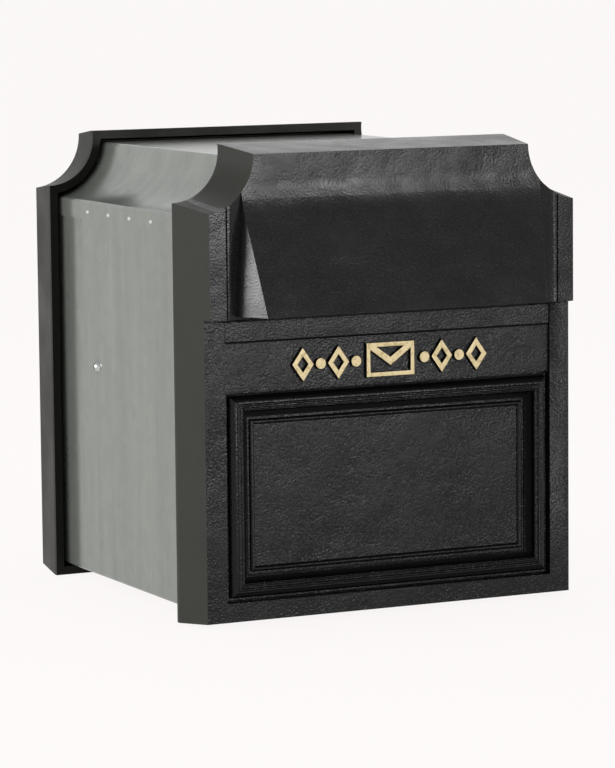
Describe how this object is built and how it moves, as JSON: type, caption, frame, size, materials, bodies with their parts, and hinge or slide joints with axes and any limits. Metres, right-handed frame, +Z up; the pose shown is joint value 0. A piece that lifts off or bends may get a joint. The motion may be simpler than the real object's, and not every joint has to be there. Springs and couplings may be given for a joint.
{
  "type": "telescopic through-wall post box",
  "caption": "Through-wall post box: hooded cast front with a posting slot, two riveted sheet sleeves that telescope, and a cast rear frame with a hinged door and a cam lock.",
  "frame": {"origin": "under the middle of the closed box, at the height of the castings' lower rims", "axes": "+Z up, +Y from the hooded front casting towards the rear door, +X to the right as seen from in front"},
  "size_m": [0.338, 0.3908, 0.3815],
  "materials": {
    "front_paint": "black gloss paint on a fine sand-cast skin, gilt on the raised ornament",
    "rear_paint": "dark satin paint on cast iron",
    "door_paint": "dark satin paint on cast iron",
    "galvanised_outer": "galvanised sheet",
    "galvanised_inner": "galvanised sheet",
    "rivet_steel": "plain rivets",
    "screw_steel": "zinc plated",
    "washer_zinc": "zinc plated",
    "pin_steel": "plain steel",
    "lock_chrome": "plated lock body",
    "lock_plug_metal": "brass lock plug"
  },
  "bodies": {
    "front": {"front_casting": "front_paint", "outer_tub": "galvanised_outer", "outer_roof": "galvanised_outer", "outer_rivets": "rivet_steel", "front_sleeve_screws": "screw_steel", "slide_lock_screws": "screw_steel", "slide_lock_washers": "washer_zinc", "slide_lock_nuts": "screw_steel"},
    "rear_carriage": {"inner_tub": "galvanised_inner", "inner_roof": "galvanised_inner", "inner_rivets": "rivet_steel", "rear_casting": "rear_paint", "rear_sleeve_screws": "screw_steel", "hinge_pin_upper": "pin_steel", "hinge_pin_lower": "pin_steel"},
    "door": {"rear_door": "door_paint", "lock_body": "lock_chrome", "lock_nut": "washer_zinc"},
    "lock_core": {"lock_plug": "lock_plug_metal", "lock_cam": "washer_zinc", "cam_washer": "washer_zinc", "cam_screw": "screw_steel"}
  },
  "joints": [
    {"name": "telescope_slide", "type": "slide", "parent": "front", "child": "rear_carriage", "axis": [0, 1, 0], "range_m": [0, 0.12]},
    {"name": "rear_door_hinge", "type": "hinge", "parent": "rear_carriage", "child": "door", "pos_m": [-0.1265, 0.1902, 0.185], "axis": [0, 0, 1], "range_deg": [0, 115]},
    {"name": "lock_turn", "type": "hinge", "parent": "door", "child": "lock_core", "pos_m": [0.084, 0.19, 0.185], "axis": [0, 1, 0], "range_deg": [0, 90]}
  ]
}
